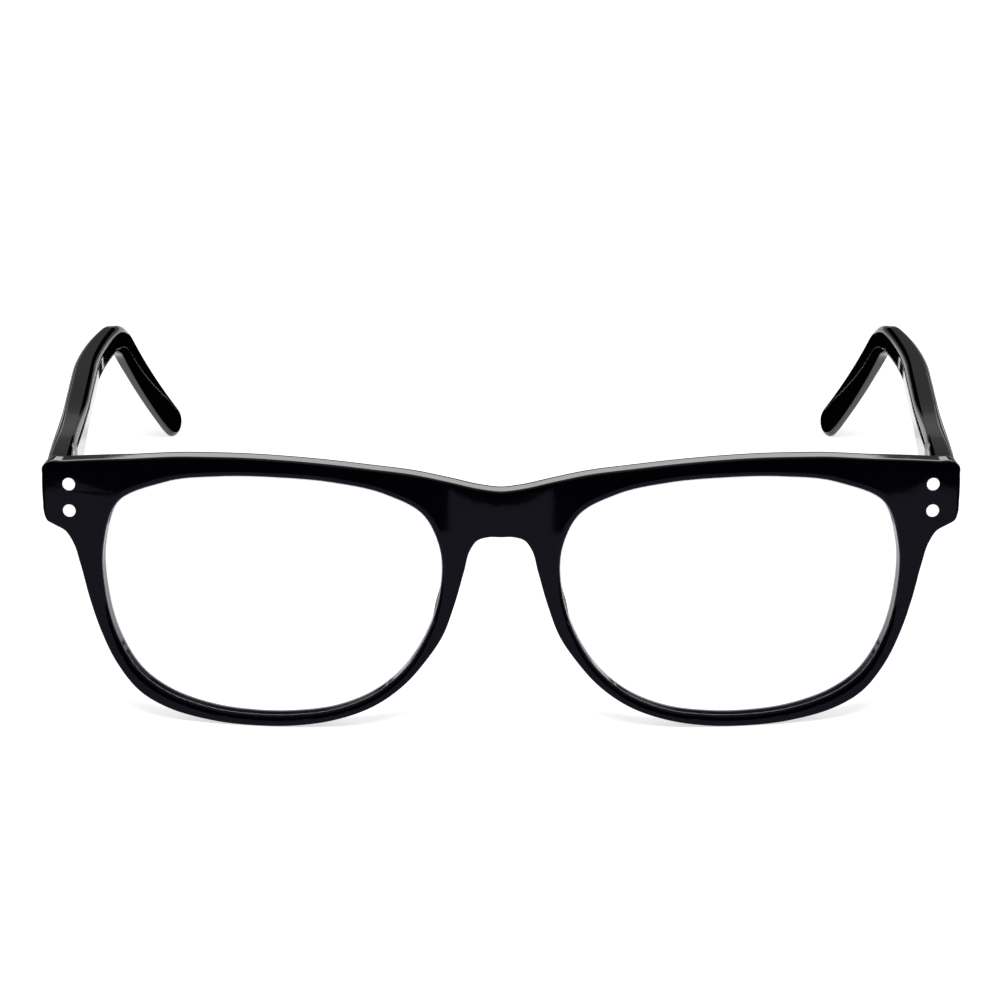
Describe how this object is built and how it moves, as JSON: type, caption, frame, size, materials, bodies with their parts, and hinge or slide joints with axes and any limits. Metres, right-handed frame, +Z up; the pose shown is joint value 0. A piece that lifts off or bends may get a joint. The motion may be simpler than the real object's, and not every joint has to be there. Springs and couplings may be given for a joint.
{
  "type": "eyeglasses",
  "caption": "Full-rim acetate eyeglasses with clear lenses, riveted hinges and temples that fold flat behind the front.",
  "frame": {"origin": "centre of the bounding box in plan, on the surface that the rim bottoms and temple tips rest on", "axes": "+X towards the wearer's left, -Y the way the wearer looks, +Z up with the glasses standing open on a table"},
  "size_m": [0.14, 0.133, 0.043],
  "materials": {
    "acetate": "polished black cellulose acetate",
    "lens": "clear polished lens",
    "hinge": "satin nickel silver",
    "rivet": "polished steel"
  },
  "bodies": {
    "front": {"front_frame": "acetate", "front_rivet_left_lower": "rivet", "front_rivet_left_upper": "rivet", "front_rivet_right_lower": "rivet", "front_rivet_right_upper": "rivet", "hinge_front_leaf_left": "hinge", "hinge_front_leaf_right": "hinge", "hinge_screw_left": "hinge", "hinge_screw_right": "hinge", "lens_left": "lens", "lens_right": "lens", "nose_pad_left": "acetate", "nose_pad_right": "acetate"},
    "temple_left": {"hinge_temple_leaf_left": "hinge", "temple_core_left": "hinge", "temple_left": "acetate", "temple_rivet_left_lower": "rivet", "temple_rivet_left_upper": "rivet"},
    "temple_right": {"hinge_temple_leaf_right": "hinge", "temple_core_right": "hinge", "temple_right": "acetate", "temple_rivet_right_lower": "rivet", "temple_rivet_right_upper": "rivet"}
  },
  "joints": [
    {"name": "left_temple_fold", "type": "hinge", "parent": "front", "child": "temple_left", "pos_m": [0.06351, -0.05457, 0.03574], "axis": [0, 0.0419, 0.9991], "range_deg": [0, 86]},
    {"name": "right_temple_fold", "type": "hinge", "parent": "front", "child": "temple_right", "pos_m": [-0.06351, -0.05457, 0.03574], "axis": [0, -0.0419, -0.9991], "range_deg": [0, 76]}
  ]
}
